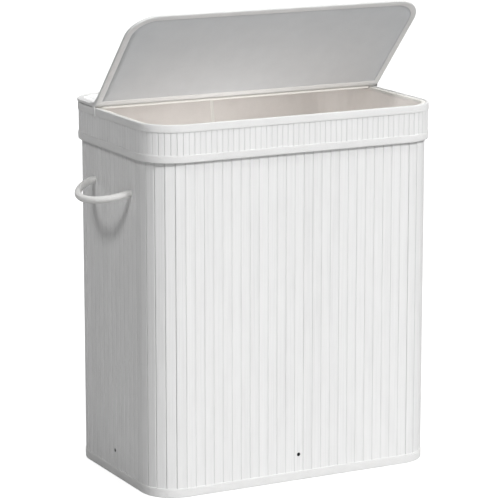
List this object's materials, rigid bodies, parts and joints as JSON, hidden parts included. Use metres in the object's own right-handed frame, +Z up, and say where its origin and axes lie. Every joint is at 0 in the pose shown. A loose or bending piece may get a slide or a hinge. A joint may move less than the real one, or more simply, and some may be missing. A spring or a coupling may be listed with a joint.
{
  "type": "laundry hamper",
  "caption": "Rounded rectangular slatted laundry hamper with rope handles, a removable cloth liner and a lift-off lid whose front flap hinges up.",
  "frame": {"origin": "centre of the base's footprint, on the floor", "axes": "+Z up, +X to the right as seen from the front, and the front (the flap's opening edge) faces -Y"},
  "size_m": [0.6218, 0.3318, 0.7645],
  "materials": {
    "slats": "white painted bamboo, satin",
    "binding": "white woven tape, matte",
    "hinge_tape": "white woven tape, matte",
    "backing_cloth": "white cotton backing, matte",
    "panel_cloth": "light grey-white non-woven cloth, matte",
    "liner_cloth": "off-white cotton, matte",
    "bare_bamboo": "bare bamboo, matte",
    "board": "thin fibreboard, matte",
    "screws": "black, satin",
    "washers": "white, matte",
    "rope": "white braided cotton rope, matte"
  },
  "bodies": {
    "hamper_body": {"front_slats": "slats", "rear_slats": "slats", "left_slats": "slats", "right_slats": "slats", "corner_slats": "slats", "body_lining": "backing_cloth", "rear_seam_strip": "backing_cloth", "top_hoop": "bare_bamboo", "base_hoop": "bare_bamboo", "body_top_binding": "binding", "base_binding": "binding", "long_batten": "bare_bamboo", "short_batten": "bare_bamboo", "base_board": "board", "batten_screws": "screws", "liner_bag": "liner_cloth", "liner_cuff": "liner_cloth", "rope_washers": "washers", "rope_knots": "rope"},
    "lid_frame": {"collar_front_slats": "slats", "collar_rear_slats": "slats", "collar_left_slats": "slats", "collar_right_slats": "slats", "collar_corner_slats": "slats", "collar_lining": "backing_cloth", "collar_top_binding": "binding", "collar_base_binding": "binding", "rear_panel_board": "board", "rear_panel_slats": "slats", "rear_panel_lining": "panel_cloth", "rear_panel_binding": "binding", "rear_panel_seam": "binding", "rear_panel_rail": "binding", "hinge_tape_rear": "hinge_tape", "hinge_end_tabs": "hinge_tape"},
    "lid_flap": {"flap_board": "board", "flap_slats": "slats", "flap_lining": "panel_cloth", "flap_binding": "binding", "hinge_tape_flap": "hinge_tape"},
    "left_handle": {"left_handle_rope": "rope"},
    "right_handle": {"right_handle_rope": "rope"}
  },
  "joints": [
    {"name": "lid_lift", "type": "slide", "parent": "hamper_body", "child": "lid_frame", "axis": [0, 0, 1], "range_m": [0, 0.1]},
    {"name": "flap_hinge", "type": "hinge", "parent": "lid_frame", "child": "lid_flap", "pos_m": [0, 0.051, 0.6069], "axis": [-1, 0, 0], "range_deg": [-46.5, 128.5]},
    {"name": "left_handle_swing", "type": "hinge", "parent": "hamper_body", "child": "left_handle", "pos_m": [-0.2605, 0, 0.48], "axis": [0, 1, 0], "range_deg": [-65, 90]},
    {"name": "right_handle_swing", "type": "hinge", "parent": "hamper_body", "child": "right_handle", "pos_m": [0.2605, 0, 0.48], "axis": [0, -1, 0], "range_deg": [-65, 90]}
  ]
}
